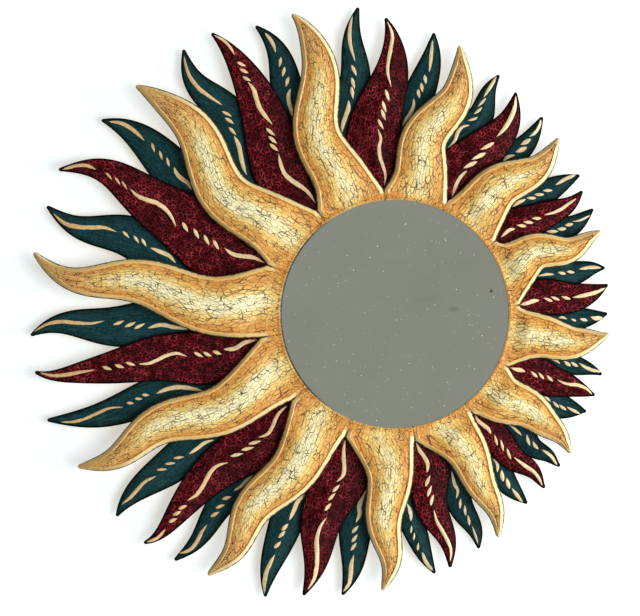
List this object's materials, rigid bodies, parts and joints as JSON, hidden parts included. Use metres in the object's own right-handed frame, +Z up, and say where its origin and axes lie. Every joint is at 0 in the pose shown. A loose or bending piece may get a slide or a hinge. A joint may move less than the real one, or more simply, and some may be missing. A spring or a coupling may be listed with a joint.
{
  "type": "sun wall mirror",
  "caption": "Round wall mirror set off centre in a carved wooden sun of wavy gold rays over maroon and green leaves, with a plywood ring and a D-ring hanger behind.",
  "frame": {"origin": "centre of the circle through the ray tips, on the glue plane between the gold rays and the maroon leaves; it is the centre of the whole to a few millimetres", "axes": "+Z up, +X to the right as seen from the front, the mirror faces -Y and the wall is on the +Y side"},
  "size_m": [0.6358, 0.0464, 0.648],
  "materials": {
    "gold_paint": "crackled gold and orange paint under satin varnish",
    "maroon_paint": "crackled dark red paint under satin varnish",
    "green_paint": "brushed dark teal paint under satin varnish",
    "mirror": "silvered glass",
    "hardboard": "bare hardboard",
    "plywood": "bare birch plywood",
    "zinc_steel": "zinc plated",
    "nickel_steel": "nickel plated",
    "felt": "pressed felt"
  },
  "bodies": {
    "frame": {"gold_ray_01": "gold_paint", "gold_ray_02": "gold_paint", "gold_ray_03": "gold_paint", "gold_ray_04": "gold_paint", "gold_ray_05": "gold_paint", "gold_ray_06": "gold_paint", "gold_ray_07": "gold_paint", "gold_ray_08": "gold_paint", "gold_ray_09": "gold_paint", "gold_ray_10": "gold_paint", "gold_ray_11": "gold_paint", "gold_ray_12": "gold_paint", "maroon_ray_01": "maroon_paint", "maroon_ray_02": "maroon_paint", "maroon_ray_03": "maroon_paint", "maroon_ray_04": "maroon_paint", "maroon_ray_05": "maroon_paint", "maroon_ray_06": "maroon_paint", "maroon_ray_07": "maroon_paint", "maroon_ray_08": "maroon_paint", "maroon_ray_09": "maroon_paint", "maroon_ray_10": "maroon_paint", "maroon_ray_11": "maroon_paint", "maroon_ray_12": "maroon_paint", "green_ray_01": "green_paint", "green_ray_02": "green_paint", "green_ray_03": "green_paint", "green_ray_04": "green_paint", "green_ray_05": "green_paint", "green_ray_06": "green_paint", "green_ray_07": "green_paint", "green_ray_08": "green_paint", "green_ray_09": "green_paint", "green_ray_10": "green_paint", "green_ray_11": "green_paint", "green_ray_12": "green_paint", "green_ray_13": "green_paint", "green_ray_14": "green_paint", "green_ray_15": "green_paint", "green_ray_16": "green_paint", "green_ray_17": "green_paint", "green_ray_18": "green_paint", "green_ray_19": "green_paint", "green_ray_20": "green_paint", "green_ray_21": "green_paint", "green_ray_22": "green_paint", "green_ray_23": "green_paint", "green_ray_24": "green_paint", "mirror_glass": "mirror", "backing_board": "hardboard", "backing_washers": "zinc_steel", "backing_screws": "zinc_steel", "plywood_ring": "plywood", "ring_screws": "zinc_steel", "hanger_strap": "nickel_steel", "hanger_screws": "zinc_steel", "felt_bumpers": "felt"},
    "hanger": {"hanger_ring": "nickel_steel"}
  },
  "joints": [
    {"name": "hanger_hinge", "type": "hinge", "parent": "frame", "child": "hanger", "pos_m": [0.033, 0.02445, 0.1689], "axis": [1, 0, 0], "range_deg": [0, 180]}
  ]
}
